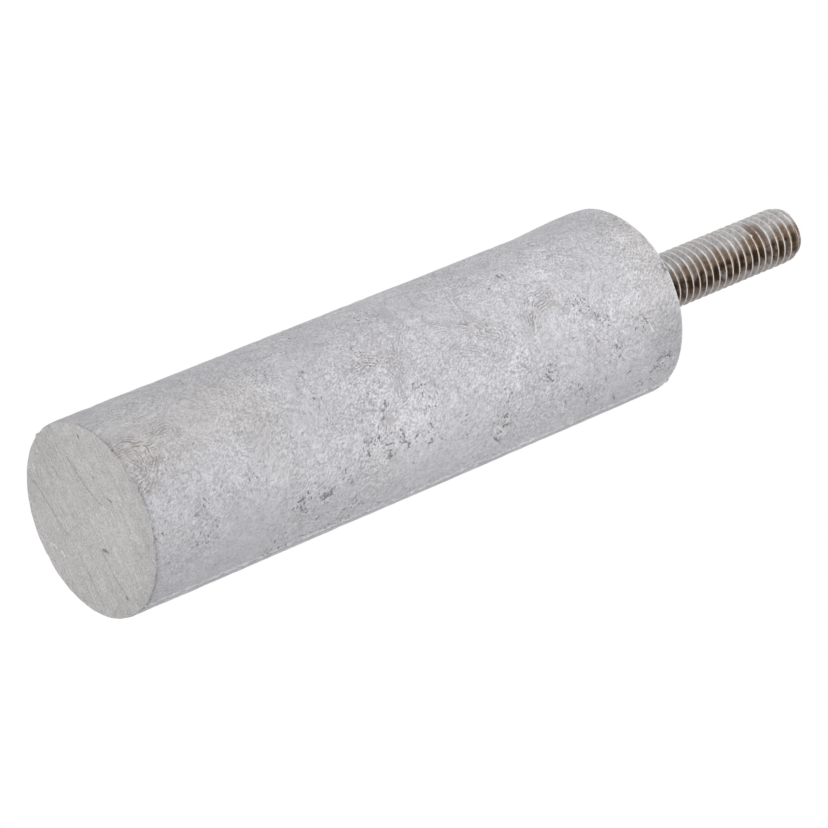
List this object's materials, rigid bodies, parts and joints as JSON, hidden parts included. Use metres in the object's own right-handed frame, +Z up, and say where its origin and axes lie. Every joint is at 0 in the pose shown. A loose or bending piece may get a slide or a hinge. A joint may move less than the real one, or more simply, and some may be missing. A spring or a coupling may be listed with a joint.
{
  "type": "sacrificial anode",
  "caption": "Short cylindrical cast anode rod with a threaded steel stud set in one end, for corrosion protection of a tank or cooling circuit.",
  "frame": {"origin": "centre of the sawn end face of the slug, which the part stands on", "axes": "+Z up the common axis of slug and stud, towards the stud's tip; +X and -X pass through the slug's two parting ridges"},
  "size_m": [0.0264, 0.026, 0.122],
  "materials": {
    "cast_anode_metal": "as cast, dull, with cold-flow marks",
    "stud_steel": "rolled thread, heat-tinted brown in the grooves, bright on the crests"
  },
  "bodies": {
    "root": {"anode_body": "cast_anode_metal", "threaded_stud": "stud_steel"}
  },
  "joints": []
}
